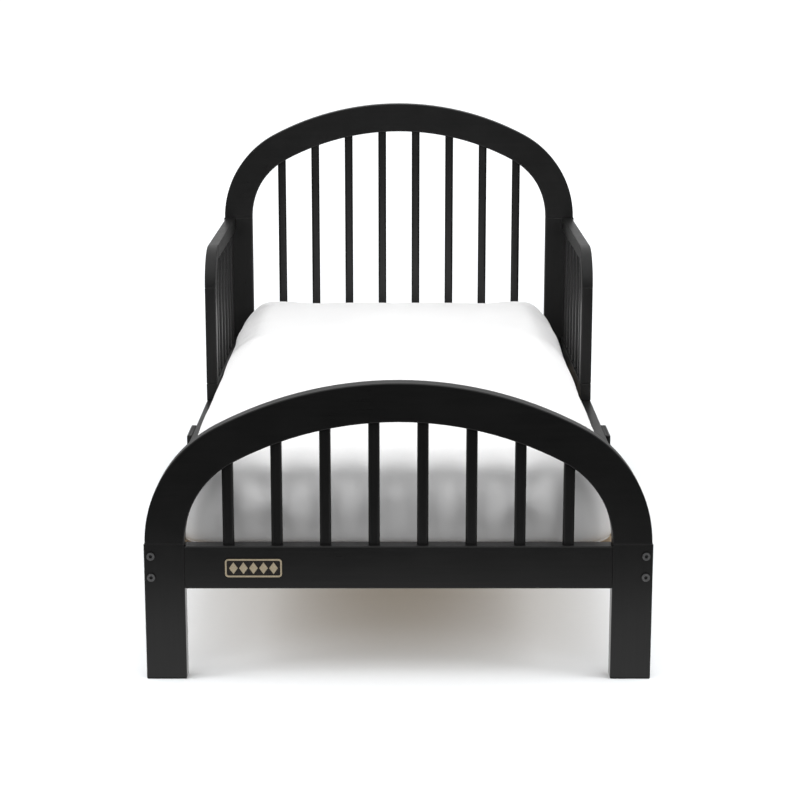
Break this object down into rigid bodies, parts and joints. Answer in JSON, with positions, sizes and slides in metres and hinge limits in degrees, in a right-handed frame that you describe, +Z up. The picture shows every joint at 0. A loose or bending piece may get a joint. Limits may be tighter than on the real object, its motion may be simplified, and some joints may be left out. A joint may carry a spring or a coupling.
{
  "type": "toddler bed",
  "caption": "Low wooden child's bed with arched spindle head and foot panels, guard rails beside the head end, a slatted deck and a fitted mattress.",
  "frame": {"origin": "on the floor, under the middle of the bed", "axes": "+Z up, +Y along the bed towards the headboard, +X to the right as seen from the foot end"},
  "size_m": [0.763, 1.374, 0.7517],
  "materials": {
    "black_painted_wood": "satin",
    "pine": "matte",
    "mattress_cover": "matte",
    "badge_metal": "satin",
    "dark_steel": "satin"
  },
  "bodies": {
    "frame": {"headboard_arch": "black_painted_wood", "headboard_post_left": "black_painted_wood", "headboard_post_right": "black_painted_wood", "headboard_rail": "black_painted_wood", "headboard_spindle_1": "black_painted_wood", "headboard_spindle_2": "black_painted_wood", "headboard_spindle_3": "black_painted_wood", "headboard_spindle_4": "black_painted_wood", "headboard_spindle_5": "black_painted_wood", "headboard_spindle_6": "black_painted_wood", "headboard_spindle_7": "black_painted_wood", "headboard_spindle_8": "black_painted_wood", "footboard_arch": "black_painted_wood", "footboard_leg_left": "black_painted_wood", "footboard_leg_right": "black_painted_wood", "footboard_rail": "black_painted_wood", "footboard_spindle_1": "black_painted_wood", "footboard_spindle_2": "black_painted_wood", "footboard_spindle_3": "black_painted_wood", "footboard_spindle_4": "black_painted_wood", "footboard_spindle_5": "black_painted_wood", "footboard_spindle_6": "black_painted_wood", "footboard_spindle_7": "black_painted_wood", "footboard_spindle_8": "black_painted_wood", "side_rail_left": "black_painted_wood", "side_rail_right": "black_painted_wood", "center_leg_left": "black_painted_wood", "center_leg_right": "black_painted_wood", "guard_left_top_rail": "black_painted_wood", "guard_left_corner": "black_painted_wood", "guard_left_post": "black_painted_wood", "guard_left_bottom_rail": "black_painted_wood", "guard_left_spindles": "black_painted_wood", "guard_right_top_rail": "black_painted_wood", "guard_right_corner": "black_painted_wood", "guard_right_post": "black_painted_wood", "guard_right_bottom_rail": "black_painted_wood", "guard_right_spindles": "black_painted_wood", "slat_ledger_left": "pine", "slat_ledger_right": "pine", "slat_1": "pine", "slat_2": "pine", "slat_3": "pine", "slat_4": "pine", "slat_5": "pine", "slat_6": "pine", "slat_7": "pine", "slat_8": "pine", "slat_9": "pine", "slat_10": "pine", "slat_11": "pine", "slat_12": "pine", "panel_dowels": "pine", "end_bolts": "dark_steel", "barrel_nuts": "dark_steel", "guard_screws": "dark_steel", "center_leg_screws": "dark_steel", "deck_screws": "dark_steel", "badge": "badge_metal"},
    "mattress": {"mattress": "mattress_cover"}
  },
  "joints": [
    {"name": "mattress_lift", "type": "slide", "parent": "frame", "child": "mattress", "axis": [0, 0, 1], "range_m": [0, 0.34]}
  ]
}
